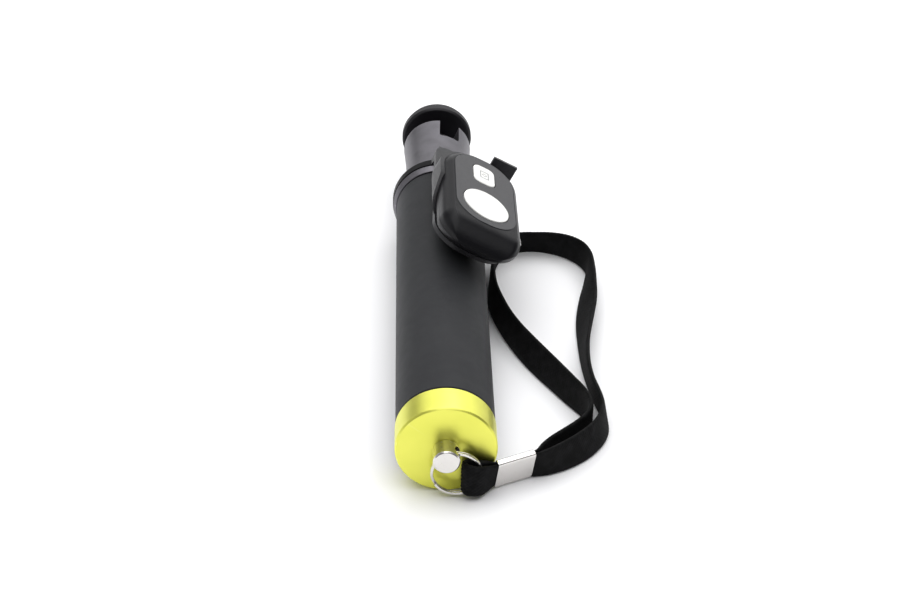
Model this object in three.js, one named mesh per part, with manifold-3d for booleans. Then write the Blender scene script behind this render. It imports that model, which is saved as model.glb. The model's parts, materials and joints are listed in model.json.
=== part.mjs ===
// A folded selfie stick lying on its side, with a pocket remote in its holder and a wrist strap.
// Millimetres, +Z up. The stick runs along +Y, from the end cap to the ball head.
// Each turned piece is drawn as half a section in (radius, distance along the stick).
import * as THREE from 'three';
import { mergeVertices } from 'three/addons/utils/BufferGeometryUtils.js';
import Module from 'manifold-3d';

const wasm = await Module();
wasm.setup();

// ---- Driving dimensions ----
const SEGMENTS = 32; // facets of every turned piece, so that neighbours' facets line up
const FIT = 0.1; // gap between turned pieces on one axis
const GAP = 0.3; // gap between cut or freely shaped pieces

const CAP_R = 15;
const CAP_LENGTH = 10;
const CAP_CHAMFER = 0.5;
const CAP_PLUG_R = 12.3;
const CAP_PLUG_END = 19;
const GASKET = 0.6; // thickness of the ring between cap and grip

const POST_R = 4;
const POST_LENGTH = 6.2;
const POST_SHANK_R = 2.9;
const POST_HOLE_R = 1.7;
const POST_HOLE_Y = -3.1;
const POST_HOLE_TILT = 0.45; // radians from level, rising to the right

const RING_MEAN_R = 7.25;
const RING_WIRE = 1.0; // radial width of the wire
const RING_WIDTH = 1.5; // two turns side by side
const RING_HANG = 6.75; // from the post's hole to the ring's centre

const HANDLE_R = 13.2;
const HANDLE_WALL = 0.6;
const HANDLE_END = 144.8;
const GRIP_R = 14.8;
const GRIP_END = 137.7;

const COLLAR_R = 16.1;
const COLLAR_START = 138;
const COLLAR_END = 144.6;
const RIM_END = 140.6; // far side of the satin ring between the grip and the collar

const SECTION_R = [11.5, 10, 8.5, 7, 5.5]; // outer radii, from the thickest section
const SECTION_WALL = 0.6;
const SECTION_FOOT = 20.5; // lower end of the thickest section
const SECTION_STEP = 1.5; // each thinner section starts this much higher
const SECTION_TOP = 145.3;
const LIP_LENGTH = 2; // swaged mouth that keeps the next section in
const BUSH_LENGTH = 8;

const HEAD_START = 146.2;
const HEAD_BASE_R = 10.6;
const HEAD_RIM_R = 12.2;
const HEAD_RIM_Y = 180.7;
const ADAPTER_END = 155.2; // top of the plug that closes the housing
const SPRING_HEIGHT = 2.4;
const BALL_Y = 174.3;
const BALL_R = 8.9;
const POCKET_R = 9.3;
const STEM_R = 3.3;
const SPIGOT_R = 2.8; // the stem's thinner end, which the platform turns on
const SPIGOT_LENGTH = 2.4;
const NOTCH_WIDTH = 7.5;
const NOTCH_DEPTH = 10.1;
const NOTCH_ROLL = 0.408; // radians from straight up towards +X

const PLATFORM_R = 12.8;
const PLATFORM_Y = 188.6;
const PLATFORM_THICKNESS = 4;
const PAD_THICKNESS = 1.2;
const CAMERA_THREAD_R = 3.1; // 1/4 inch camera thread
const CAMERA_THREAD_LENGTH = 5.2;

const REMOTE_ROLL = 0.512; // radians from straight up towards +X
const REMOTE = { width: 28.4, near: 72, far: 128, floor: 19.5, face: 30.1, corner: 13 };
const REMOTE_EDGE = { height: 4.4, inset: 3.6 }; // quarter ellipse round the floor and the face
const REMOTE_SPLIT = 24.2; // height of the joint line between the shells
const REMOTE_WALL = 1.3;
const BUTTON = { y: 94.6, r: 8.3, top: 30.5 };
const CAMERA_BUTTON = { y: 114.2, width: 8, length: 11.2, corner: 2.6, top: 30.4 };
const BUTTON_GAP = 0.25;
const BUTTON_FLANGE = { bottom: 27.3, top: 28.2, rim: 1.0 };
const BOARD = { y0: 86, y1: 118.5, halfWidth: 9.5, z0: 25.2, z1: 26 };
const CELL = { y: 98, r: 10, z0: 21, z1: 24.2 };
const CHIP = { x0: -7.5, x1: -3.5, y0: 101, y1: 106, height: 0.6 };
const CONTACT = { width: 5, length: 16 };
const DOOR_R = 10.4;
const REMOTE_SCREW_Y = [82.5, 123];
const SCREW = { r: 0.75, headR: 1.8, seat: 1.6 }; // the head's seat is measured from the floor
const SLIDER = { y0: 86, length: 3.6, travel: 3, z0: 25.5, z1: 27, proud: 0.3 };

const DECK = { width: 26, near: 81, far: 144.4, floor: 17.6, top: 19.1, corner: 11 };
// The lip cups the remote's far part, and is higher on the upper side.
const LIP = { start: 98, top: 27.8, lowTop: 22.8, wall: 1 };
const TAB = { x0: 4.6, x1: 12.9, y: 129.2, thickness: 1.3, top: 30.6, lean: 0.1 };

const STRAP_WIDTH = 10;
const STRAP_THICKNESS = 1.4;
const STRAP_LIFT = 0.15; // the lower edge's height over the table
const CRIMP = { x: 14.2, y: 0.45, length: 12.3, height: 11, thickness: 2.4, sheet: 0.4 };
const CRIMP_HEADING = 0.43; // radians from +X towards +Y
const CRIMP_LEAN = 0.26; // radians that its top leans towards -Y
const END_LOOP = { fold: 6.4, far: 9.95, y: POST_HOLE_Y, r: 2, bore: 1.1, z0: 3.7, z1: 10.8 };

// The strap's middle line in plan, from the crimp's mouth, round the loop and back to the mouth.
// The origin is under the middle of the cap's outer face.
const STRAP_ROUTE = [
  [27.0, 5.4], [31.0, 6.9], [35.0, 9.2], [38.9, 12.1], [42.2, 15.2], [45.1, 18.7],
  [47.5, 22.8], [48.9, 27.4], [48.9, 32.3], [48.0, 37.2], [46.8, 43.5], [46.0, 50.5],
  [45.7, 58], [45.9, 66], [46.6, 74.5], [47.6, 84], [48.8, 93], [49.9, 102], [51.0, 111],
  [51.3, 118.3], [49.4, 123.8], [45.6, 128.1], [40.2, 131.1], [34, 132.6], [27.8, 132.2],
  [22.9, 129], [19.8, 123.5], [18.3, 116], [17.5, 107.5], [17.5, 99], [18.9, 90.5],
  [21.3, 81.5], [24.4, 73], [28.1, 65], [32, 57.5], [36, 50.3], [40, 43],
  [43.2, 36.4], [44.7, 31], [44.3, 27], [42.2, 23.2], [38.9, 19.4], [35.2, 15.9],
  [31.3, 12.3], [28.4, 9.3], [26.5, 7.0],
];

// ---- Solids ----

// A closed three.js geometry as a solid: its shared corners merged, and no flat triangles at an axis.
function solid(geometry) {
  const bare = new THREE.BufferGeometry();
  bare.setAttribute('position', geometry.getAttribute('position'));
  bare.setIndex(geometry.getIndex());
  const merged = mergeVertices(bare, 1e-4);
  const corners = merged.getIndex().array;
  const faces = [];
  for (let i = 0; i < corners.length; i += 3) {
    const [a, b, c] = corners.slice(i, i + 3);
    if (a !== b && b !== c && c !== a) faces.push(a, b, c);
  }
  const vertProperties = new Float32Array(merged.getAttribute('position').array);
  const triVerts = new Uint32Array(faces);
  return new wasm.Manifold(new wasm.Mesh({ numProp: 3, vertProperties, triVerts }));
}

function mesh(name, body, material) {
  const { vertProperties, triVerts } = body.getMesh();
  const geometry = new THREE.BufferGeometry();
  geometry.setAttribute('position', new THREE.BufferAttribute(vertProperties, 3));
  geometry.setIndex(new THREE.BufferAttribute(triVerts, 1));
  geometry.computeVertexNormals();
  const piece = new THREE.Mesh(geometry, material.clone());
  piece.name = name;
  return piece;
}

// A solid of revolution about the stick's axis. The half section runs anticlockwise as (radius, y),
// and closes on itself unless it starts and ends on the axis.
function turned(section, segments = SEGMENTS) {
  const points = section.map(([r, y]) => new THREE.Vector2(r, y));
  const onAxis = section[0][0] === 0;
  if (!onAxis) points.push(points[0].clone());
  return solid(new THREE.LatheGeometry(points, segments));
}

function tube(outer, inner, y0, y1) {
  return turned([[inner, y0], [outer, y0], [outer, y1], [inner, y1]]);
}

function box(x0, x1, y0, y1, z0, z1) {
  const geometry = new THREE.BoxGeometry(x1 - x0, y1 - y0, z1 - z0);
  return solid(geometry.translate((x0 + x1) / 2, (y0 + y1) / 2, (z0 + z1) / 2));
}

// An upright round bar from z0 to z1.
function upright(r, x, y, z0, z1, segments = SEGMENTS) {
  const geometry = new THREE.CylinderGeometry(r, r, z1 - z0, segments);
  return solid(geometry.rotateX(Math.PI / 2).translate(x, y, (z0 + z1) / 2));
}

// A rectangle with round corners, in plan.
function roundedOutline(width, y0, y1, corner) {
  const half = width / 2;
  const shape = new THREE.Shape();
  shape.moveTo(-half + corner, y0);
  shape.lineTo(half - corner, y0);
  shape.absarc(half - corner, y0 + corner, corner, -Math.PI / 2, 0);
  shape.absarc(half - corner, y1 - corner, corner, 0, Math.PI / 2);
  shape.absarc(-half + corner, y1 - corner, corner, Math.PI / 2, Math.PI);
  shape.absarc(-half + corner, y0 + corner, corner, Math.PI, 1.5 * Math.PI);
  return shape;
}

function plate(shape, z0, z1, curveSegments = 6) {
  const options = { depth: z1 - z0, bevelEnabled: false, curveSegments };
  return solid(new THREE.ExtrudeGeometry(shape, options).translate(0, 0, z0));
}

// ---- Materials ----
function finish(color, roughness, metalness) {
  return new THREE.MeshStandardMaterial({ color, roughness, metalness });
}

const LIME = finish(0xd3dc3c, 0.32, 0.9);
const STEEL = finish(0xd5d3d0, 0.22, 1);
const DARK_METAL = finish(0x2e2e31, 0.35, 0.8);
const TUBE_METAL = finish(0x9a9ca0, 0.3, 1);
const SOFT_TOUCH = finish(0x3a3c3f, 0.85, 0);
const HARD_BLACK = finish(0x26262a, 0.5, 0);
const REMOTE_GREY = finish(0x4a4a50, 0.7, 0);
const WHITE = finish(0xf4f4f2, 0.45, 0);
const WEBBING = finish(0x121214, 0.95, 0);
const RUBBER = finish(0x1a1a1b, 0.9, 0);
const BOARD_GREEN = finish(0x1e5a34, 0.5, 0);

// ---- Handle ----
function endCap() {
  const bore = POST_SHANK_R + FIT;
  const face = 4; // thickness of the cap's end wall
  const plugBore = 10;
  const section = [
    [bore, 0], [CAP_R - CAP_CHAMFER, 0], [CAP_R, CAP_CHAMFER], [CAP_R, CAP_LENGTH],
    [CAP_PLUG_R, CAP_LENGTH], [CAP_PLUG_R, CAP_PLUG_END], [plugBore, CAP_PLUG_END],
    [plugBore, face], [bore, face],
  ];
  return mesh('end_cap', turned(section), LIME);
}

function lanyardPost() {
  const chamfer = 0.45;
  const shank = 3.8;
  const post = turned([
    [0, -POST_LENGTH], [POST_R - chamfer, -POST_LENGTH], [POST_R, -POST_LENGTH + chamfer],
    [POST_R, -FIT], [POST_SHANK_R, -FIT], [POST_SHANK_R, shank], [0, shank],
  ]);
  const drill = new THREE.CylinderGeometry(POST_HOLE_R, POST_HOLE_R, 4 * POST_R, 20);
  drill.rotateZ(Math.PI / 2).rotateY(-POST_HOLE_TILT).translate(0, POST_HOLE_Y, 0);
  return mesh('lanyard_post', post.subtract(solid(drill)), STEEL);
}

function capGasket() {
  const start = CAP_LENGTH + FIT;
  return mesh('cap_gasket', tube(GRIP_R - 0.1, CAP_PLUG_R + FIT, start, start + GASKET), RUBBER);
}

function handleTube() {
  const start = CAP_LENGTH + GASKET + 2 * FIT;
  return mesh('handle_tube', tube(HANDLE_R, HANDLE_R - HANDLE_WALL, start, HANDLE_END), TUBE_METAL);
}

function gripSleeve() {
  const start = CAP_LENGTH + GASKET + 2 * FIT;
  return mesh('grip_sleeve', tube(GRIP_R, HANDLE_R + FIT, start, GRIP_END), SOFT_TOUCH);
}

function handleRim() {
  return mesh('handle_rim', tube(COLLAR_R, HANDLE_R + FIT, COLLAR_START, RIM_END), DARK_METAL);
}

function throatBush() {
  const outer = HANDLE_R - HANDLE_WALL - FIT;
  const inner = SECTION_R[0] + FIT;
  const depth = 6;
  const flange = 0.5;
  const section = [
    [inner, HANDLE_END - depth], [outer, HANDLE_END - depth], [outer, HANDLE_END + FIT],
    [HANDLE_R, HANDLE_END + FIT], [HANDLE_R, HANDLE_END + flange], [inner, HANDLE_END + flange],
  ];
  return mesh('throat_bush', turned(section), HARD_BLACK);
}

// ---- Telescoping sections ----
function sectionTube(index) {
  const outer = SECTION_R[index];
  const inner = outer - SECTION_WALL;
  const foot = SECTION_FOOT + SECTION_STEP * index;
  const name = `section_${index + 1}_tube`;
  const next = SECTION_R[index + 1];
  if (next === undefined) return mesh(name, tube(outer, inner, foot, SECTION_TOP), TUBE_METAL);
  const lip = next + FIT;
  const section = [
    [inner, foot], [outer, foot], [outer, SECTION_TOP], [lip, SECTION_TOP],
    [lip, SECTION_TOP - LIP_LENGTH], [inner, SECTION_TOP - LIP_LENGTH],
  ];
  return mesh(name, turned(section), TUBE_METAL);
}

function sectionBush(index) {
  const inner = SECTION_R[index] + 0.05;
  const around = index === 0 ? HANDLE_R - HANDLE_WALL : SECTION_R[index - 1] - SECTION_WALL;
  const foot = SECTION_FOOT + SECTION_STEP * index;
  const bush = tube(around - FIT, inner, foot, foot + BUSH_LENGTH);
  return mesh(`section_${index + 1}_bush`, bush, HARD_BLACK);
}

// ---- Ball head ----
function neckAdapter() {
  const stem = SECTION_R[4] - SECTION_WALL - FIT;
  const stemStart = 126;
  const plug = POCKET_R - FIT;
  const section = [
    [0, stemStart], [stem, stemStart], [stem, HEAD_START], [plug, HEAD_START],
    [plug, ADAPTER_END], [0, ADAPTER_END],
  ];
  return mesh('neck_adapter', turned(section), TUBE_METAL);
}

function ballHousing() {
  const mouth = 6.7;
  const waist = { r: 10.8, y: 167.6 };
  const shoulder = { r: 11.9, y: 176.4 };
  const pocketSteps = 5;
  const topAngle = Math.acos(mouth / POCKET_R);
  const section = [
    [POCKET_R, HEAD_START], [HEAD_BASE_R, HEAD_START], [waist.r, waist.y],
    [shoulder.r, shoulder.y], [HEAD_RIM_R, HEAD_RIM_Y], [mouth, HEAD_RIM_Y],
  ];
  for (let step = pocketSteps; step >= 0; step -= 1) {
    const angle = (topAngle * step) / pocketSteps;
    section.push([POCKET_R * Math.cos(angle), BALL_Y + POCKET_R * Math.sin(angle)]);
  }
  const cup = turned(section);
  const floor = HEAD_RIM_Y - NOTCH_DEPTH;
  const notch = new THREE.BoxGeometry(NOTCH_WIDTH, 2 * NOTCH_DEPTH, 2 * HEAD_RIM_R);
  notch.translate(0, floor + NOTCH_DEPTH, HEAD_RIM_R).rotateY(NOTCH_ROLL);
  return mesh('ball_housing', cup.subtract(solid(notch)), DARK_METAL);
}

function ballSpring() {
  const start = ADAPTER_END + FIT;
  const thickness = 0.6;
  const [inner, outer] = [4.5, POCKET_R - GAP];
  const section = [
    [inner, start + SPRING_HEIGHT - thickness], [outer, start], [outer, start + thickness],
    [inner, start + SPRING_HEIGHT],
  ];
  return mesh('ball_spring', turned(section), STEEL);
}

function ballSeat() {
  const start = ADAPTER_END + SPRING_HEIGHT + 2 * FIT;
  const rim = BALL_Y - STEM_R - GAP; // clear of the stem at a full tilt
  const bore = 3;
  const cup = BALL_R + FIT;
  const steps = 4;
  const lowest = -1.25;
  const highest = Math.asin((rim - BALL_Y) / cup);
  const section = [[bore, start], [POCKET_R - FIT, start], [POCKET_R - FIT, rim]];
  for (let step = 0; step <= steps; step += 1) {
    const angle = highest + ((lowest - highest) * step) / steps;
    section.push([cup * Math.cos(angle), BALL_Y + cup * Math.sin(angle)]);
  }
  section.push([bore, BALL_Y + cup * Math.sin(lowest)]);
  return mesh('ball_seat', turned(section), HARD_BLACK);
}

function ballStud() {
  const steps = 12;
  const top = Math.acos(STEM_R / BALL_R);
  const spigotTop = PLATFORM_Y + SPIGOT_LENGTH;
  const section = [];
  for (let step = 0; step <= steps; step += 1) {
    const angle = -Math.PI / 2 + ((top + Math.PI / 2) * step) / steps;
    const r = step === 0 ? 0 : BALL_R * Math.cos(angle);
    section.push([r, BALL_Y + BALL_R * Math.sin(angle)]);
  }
  section.push([STEM_R, PLATFORM_Y - FIT], [SPIGOT_R, PLATFORM_Y - FIT]);
  section.push([SPIGOT_R, spigotTop], [0, spigotTop]);
  return mesh('ball_stud', turned(section), DARK_METAL);
}

function cameraPlatform() {
  const top = PLATFORM_Y + PLATFORM_THICKNESS;
  const bore = SPIGOT_R + FIT;
  const chamfer = 0.7;
  const flange = 5;
  const seat = top - 1.2; // the screw's flange sits here
  const padR = PLATFORM_R - 0.8;
  const lead = 0.6; // the thread's tapered start
  const disc = turned([
    [bore, PLATFORM_Y], [PLATFORM_R - chamfer, PLATFORM_Y], [PLATFORM_R, PLATFORM_Y + chamfer],
    [PLATFORM_R, top - chamfer], [PLATFORM_R - chamfer, top], [flange + FIT, top],
    [flange + FIT, seat], [bore, seat],
  ]);
  const padBottom = top + FIT;
  const padTop = padBottom + PAD_THICKNESS;
  const pad = tube(padR, CAMERA_THREAD_R + FIT, padBottom, padTop);
  const tip = padTop + CAMERA_THREAD_LENGTH;
  const screw = turned([
    [0, seat + FIT], [flange, seat + FIT], [flange, top], [CAMERA_THREAD_R, top],
    [CAMERA_THREAD_R, tip - lead], [CAMERA_THREAD_R - lead, tip], [0, tip],
  ]);
  return [
    mesh('platform_disc', disc, DARK_METAL),
    mesh('platform_pad', pad, RUBBER),
    mesh('camera_screw', screw, STEEL),
  ];
}

// ---- Remote and its holder, in the frame that is rolled about the stick's axis ----
// Here x runs across the remote, y along the stick and z outward from the stick's axis.

// A block with the remote's outline, its edges rounded at the floor and at the given face, drawn in by
// an inset on all sides, or out by a negative one.
function pebbleBlock(inset, face) {
  const { width, near, far, floor, corner } = REMOTE;
  const round = REMOTE_EDGE.height - inset / 2;
  const side = REMOTE_EDGE.inset - inset / 4;
  const outline = roundedOutline(width - 2 * inset, near + inset, far - inset, corner - inset);
  const options = {
    depth: face - floor - 2 * inset - 2 * round, bevelThickness: round, bevelSize: side,
    bevelOffset: -side, bevelSegments: 3, curveSegments: 6,
  };
  return solid(new THREE.ExtrudeGeometry(outline, options).translate(0, 0, floor + inset + round));
}

// The remote's shape: the block, with its face sloping down to the near end.
function pebble(inset) {
  const { width, near, far, floor, face } = REMOTE;
  const slopeLength = 9;
  const shoulder = { y: near + inset + 1.5, z: face - inset - 2 };
  const tuck = 6; // how far the nose draws back under the remote
  const profile = new THREE.Shape();
  profile.moveTo(near + inset + tuck, floor - 1);
  profile.lineTo(far, floor - 1);
  profile.lineTo(far, face - inset);
  profile.lineTo(near + slopeLength, face - inset);
  profile.quadraticCurveTo(shoulder.y, shoulder.z, near + inset, face - 6.5);
  profile.quadraticCurveTo(near + inset + 0.5, floor + 1, near + inset + tuck, floor - 1);
  const across = { depth: width + 2, bevelEnabled: false, curveSegments: 6 };
  const slab = new THREE.ExtrudeGeometry(profile, across).translate(0, 0, -width / 2 - 1);
  slab.rotateX(Math.PI / 2).rotateZ(Math.PI / 2);
  return pebbleBlock(inset, face).intersect(solid(slab));
}

function remoteShells() {
  const { width, near, far, floor, face } = REMOTE;
  const outer = pebble(0);
  const inner = pebble(REMOTE_WALL);
  const wide = width / 2 + 1;
  const half = (z0, z1) => box(-wide, wide, near - 1, far + 1, z0, z1);
  const buttonHole = upright(BUTTON.r + BUTTON_GAP, 0, BUTTON.y, REMOTE_SPLIT, face + 1);
  const cameraHole = plate(
    cameraButtonOutline(BUTTON_GAP), REMOTE_SPLIT, face + 1, 3,
  );
  const slot = box(
    BOARD.halfWidth, wide, SLIDER.y0 - GAP, SLIDER.y0 + SLIDER.length + SLIDER.travel + GAP,
    SLIDER.z0 - GAP, SLIDER.z1 + GAP,
  );
  const bossR = 2; // in the top shell
  const pillarR = 3; // in the bottom shell
  const pilotR = SCREW.r + 0.15;
  let top = outer.subtract(inner);
  let bottom = outer.subtract(inner);
  for (const y of REMOTE_SCREW_Y) {
    top = top.add(upright(bossR, 0, y, REMOTE_SPLIT, face, 12).intersect(outer));
    top = top.subtract(upright(pilotR, 0, y, REMOTE_SPLIT - 1, face - 3.6, 12));
    bottom = bottom.add(upright(pillarR, 0, y, floor + 0.5, REMOTE_SPLIT, 12).intersect(outer));
    bottom = bottom.subtract(upright(pilotR, 0, y, floor - 1, REMOTE_SPLIT + 1, 12));
    bottom = bottom.subtract(upright(SCREW.headR + GAP, 0, y, floor - 1, floor + SCREW.seat, 12));
  }
  top = top.intersect(half(REMOTE_SPLIT + FIT, face + 1));
  top = top.subtract(buttonHole).subtract(cameraHole).subtract(slot);
  bottom = bottom.intersect(half(floor - 1, REMOTE_SPLIT - FIT));
  bottom = bottom.subtract(upright(DOOR_R + GAP, 0, CELL.y, floor - 1, floor + 2));
  return [
    mesh('remote_top_shell', top, REMOTE_GREY),
    mesh('remote_bottom_shell', bottom, REMOTE_GREY),
  ];
}

function cameraButtonOutline(grow) {
  const { y, width, length, corner } = CAMERA_BUTTON;
  const [y0, y1] = [y - length / 2 - grow, y + length / 2 + grow];
  return roundedOutline(width + 2 * grow, y0, y1, corner + grow);
}

function remoteButtons() {
  const { bottom, top, rim } = BUTTON_FLANGE;
  const cap = upright(BUTTON.r, 0, BUTTON.y, bottom, BUTTON.top);
  const shutter = cap.add(upright(BUTTON.r + rim, 0, BUTTON.y, bottom, top));
  const key = plate(cameraButtonOutline(0), bottom, CAMERA_BUTTON.top, 3);
  const camera = key.add(plate(cameraButtonOutline(rim / 2), bottom, top, 3));
  return [mesh('shutter_button', shutter, WHITE), mesh('camera_button', camera, WHITE)];
}

function remoteInside() {
  const { y0, y1, halfWidth, z0, z1 } = BOARD;
  const solder = 0.05; // gap under what is fixed on the board
  const domeHeight = 0.75;
  const shim = 0.2; // gap between the cell, its contact and the board
  const screwHead = REMOTE.floor + 0.3;
  const board = box(-halfWidth, halfWidth, y0, y1, z0, z1);
  const chip = box(CHIP.x0, CHIP.x1, CHIP.y0, CHIP.y1, z1 + solder, z1 + solder + CHIP.height);
  const contact = box(
    -CONTACT.width / 2, CONTACT.width / 2, CELL.y - CONTACT.length / 2, CELL.y + CONTACT.length / 2,
    CELL.z1 + shim, z0 - shim,
  );
  const slider = box(
    halfWidth + 0.8, REMOTE.width / 2 + SLIDER.proud, SLIDER.y0, SLIDER.y0 + SLIDER.length,
    SLIDER.z0, SLIDER.z1,
  );
  const door = upright(DOOR_R, 0, CELL.y, REMOTE.floor + FIT, CELL.z0 - shim);
  const dome = (r, y) => upright(r, 0, y, z1 + solder, z1 + solder + domeHeight, 16);
  const screws = REMOTE_SCREW_Y.map((y, index) => {
    const head = upright(SCREW.headR, 0, y, screwHead, REMOTE.floor + SCREW.seat - FIT, 12);
    const screw = head.add(upright(SCREW.r, 0, y, screwHead, REMOTE.face - 4, 12));
    return mesh(`remote_screw_${index + 1}`, screw, STEEL);
  });
  return [
    mesh('circuit_board', board, BOARD_GREEN),
    mesh('radio_module', chip, HARD_BLACK),
    mesh('shutter_switch', dome(3, BUTTON.y), STEEL),
    mesh('camera_switch', dome(2.4, CAMERA_BUTTON.y), STEEL),
    mesh('coin_cell', upright(CELL.r, 0, CELL.y, CELL.z0, CELL.z1), STEEL),
    mesh('cell_contact', contact, STEEL),
    mesh('battery_door', door, REMOTE_GREY),
    mesh('power_switch', slider, WHITE),
    ...screws,
  ];
}

function remoteHolder() {
  const { width, near, far, floor, top, corner } = DECK;
  const high = REMOTE.face + 10;
  const sole = GRIP_R - 2; // the ribs reach down past the grip, and are cut back to it
  const deck = plate(roundedOutline(width, near, far, corner), floor, top);
  const cup = pebbleBlock(-GAP - LIP.wall, high).subtract(pebbleBlock(-GAP, high));
  const highLip = cup.intersect(box(-width, 2, LIP.start, far, floor, LIP.top));
  const lowLip = cup.intersect(box(1, width, LIP.start, far, floor, LIP.lowTop));
  // The tab at the far end leans away from the remote.
  const tabHeight = TAB.top - floor;
  const blade = new THREE.BoxGeometry(TAB.x1 - TAB.x0, TAB.thickness, tabHeight);
  blade.translate((TAB.x0 + TAB.x1) / 2, 0, tabHeight / 2).rotateX(-TAB.lean);
  blade.translate(0, TAB.y, floor);
  const ribs = box(-6, 6, near + 11, COLLAR_END, sole, floor + 1)
    .add(box(-10, 10, RIM_END + GAP, COLLAR_END, sole, floor + 1));
  const collar = turned([
    [HANDLE_R, RIM_END + FIT], [COLLAR_R, RIM_END + FIT], [COLLAR_R, COLLAR_END],
    [HANDLE_R, COLLAR_END],
  ]);
  const overGrip = turned([
    [0, near], [GRIP_R + GAP, near], [GRIP_R + GAP, COLLAR_START], [COLLAR_R + GAP, COLLAR_START - GAP],
    [COLLAR_R + GAP, RIM_END + FIT], [0, RIM_END + FIT],
  ]);
  const bore = turned([[0, near], [HANDLE_R + FIT, near], [HANDLE_R + FIT, far + 9], [0, far + 9]]);
  const holder = deck.add(highLip).add(lowLip).add(solid(blade)).add(ribs).add(collar);
  return mesh('remote_holder', holder.subtract(overGrip).subtract(bore), HARD_BLACK);
}

// ---- Split ring, strap and crimp ----
function splitRing() {
  const [inner, outer] = [RING_MEAN_R - RING_WIRE / 2, RING_MEAN_R + RING_WIRE / 2];
  const [back, front] = [-RING_WIDTH / 2, RING_WIDTH / 2];
  const ring = turned([[inner, back], [outer, back], [outer, front], [inner, front]], 48);
  const piece = mesh('split_ring', ring, STEEL);
  const hang = new THREE.Group();
  piece.position.z = -RING_HANG;
  hang.rotation.y = -POST_HOLE_TILT;
  hang.position.y = POST_HOLE_Y;
  hang.add(piece);
  return hang;
}

// A crimp-frame group: x along the crimp, y through its thickness, z up its leaning height.
function crimpFrame() {
  const frame = new THREE.Group();
  frame.position.set(CRIMP.x, CRIMP.y, STRAP_LIFT);
  frame.rotation.set(CRIMP_LEAN, 0, CRIMP_HEADING, 'ZXY');
  return frame;
}

function strapCrimp() {
  const { length, height, thickness, sheet } = CRIMP;
  const sleeve = box(0, length, 0, thickness, 0, height);
  const slot = box(-1, length + 1, sheet, thickness - sheet, sheet, height - sheet);
  return mesh('strap_crimp', sleeve.subtract(slot), STEEL);
}

// The strap's folded end: a narrow loop, open from top to bottom where the ring passes, with a neck
// that leads to the crimp.
function strapEndLoop() {
  const { fold, far, y, r, bore, z0, z1 } = END_LOOP;
  const neck = { back: [13.9, -0.05], front: [14.3, -1.3] };
  const outline = new THREE.Shape();
  outline.moveTo(...neck.back);
  outline.lineTo(far + 0.8, y + r);
  outline.lineTo(fold, y + r);
  outline.absarc(fold, y, r, Math.PI / 2, 1.5 * Math.PI);
  outline.lineTo(far, y - r);
  outline.lineTo(...neck.front);
  const hole = new THREE.Path();
  hole.moveTo(far, y + bore);
  hole.lineTo(fold, y + bore);
  hole.absarc(fold, y, bore, Math.PI / 2, 1.5 * Math.PI);
  hole.lineTo(far, y - bore);
  hole.absarc(far, y, bore, -Math.PI / 2, Math.PI / 2);
  outline.holes.push(hole);
  return mesh('strap_end_loop', plate(outline, z0, z1), WEBBING);
}

function wristStrap() {
  const points = STRAP_ROUTE.map(([x, y]) => new THREE.Vector3(x, y, 0));
  const route = new THREE.CatmullRomCurve3(points, false, 'centripetal');
  const steps = 80;
  const left = [];
  const right = [];
  for (let step = 0; step <= steps; step += 1) {
    const at = route.getPoint(step / steps);
    const along = route.getTangent(step / steps);
    const side = new THREE.Vector2(-along.y, along.x).setLength(STRAP_THICKNESS / 2);
    left.push(new THREE.Vector2(at.x, at.y).add(side));
    right.unshift(new THREE.Vector2(at.x, at.y).sub(side));
  }
  const band = new THREE.Shape([...left, ...right]);
  const body = plate(band, STRAP_LIFT, STRAP_LIFT + STRAP_WIDTH);
  return mesh('wrist_strap', body, WEBBING);
}

// ---- Assembly ----

// The stick rests on the rims of its cap and of its thicker collar, so its head end is a little higher.
const restAngle = Math.atan((COLLAR_R - CAP_R) / (COLLAR_START - CAP_CHAMFER));
const stick = new THREE.Group();
stick.rotation.x = restAngle;
stick.position.z = CAP_R * Math.cos(restAngle) - CAP_CHAMFER * Math.sin(restAngle);
stick.add(endCap(), lanyardPost(), capGasket(), handleTube(), gripSleeve());
stick.add(handleRim(), throatBush());
for (const index of SECTION_R.keys()) stick.add(sectionTube(index), sectionBush(index));
stick.add(neckAdapter(), ballHousing(), ballSpring(), ballSeat(), ballStud());
stick.add(...cameraPlatform());
stick.add(splitRing());

const remote = new THREE.Group();
remote.rotation.y = REMOTE_ROLL;
remote.add(remoteHolder(), ...remoteShells(), ...remoteButtons(), ...remoteInside());
stick.add(remote);

const lanyard = crimpFrame();
lanyard.add(strapCrimp());

// The origin is on the table, under the middle of the stick's box.
const root = new THREE.Group();
root.add(stick);
root.updateMatrixWorld(true);
const middle = new THREE.Box3().setFromObject(root, true).getCenter(new THREE.Vector3());
root.add(lanyard, strapEndLoop(), wristStrap());
root.position.set(-middle.x, -middle.y, 0);

const model = new THREE.Group();
model.add(root);

export default model;
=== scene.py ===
"""The looks of a folded selfie stick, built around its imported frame.

Meshes are worked out in millimetres in a local place and then moved to the frame, in metres. The places are
the stick (y along it from the cap's outer face, z up), the remote (the same, rolled so that z points out of
its face), the table (x across, y along the stick, z up, under the middle of the cap's outer face) and the
crimp (x along it, y through it, z up, from its lower corner).
"""
import json
import math

import bmesh
import bpy
from mathutils import Matrix, Vector


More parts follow.
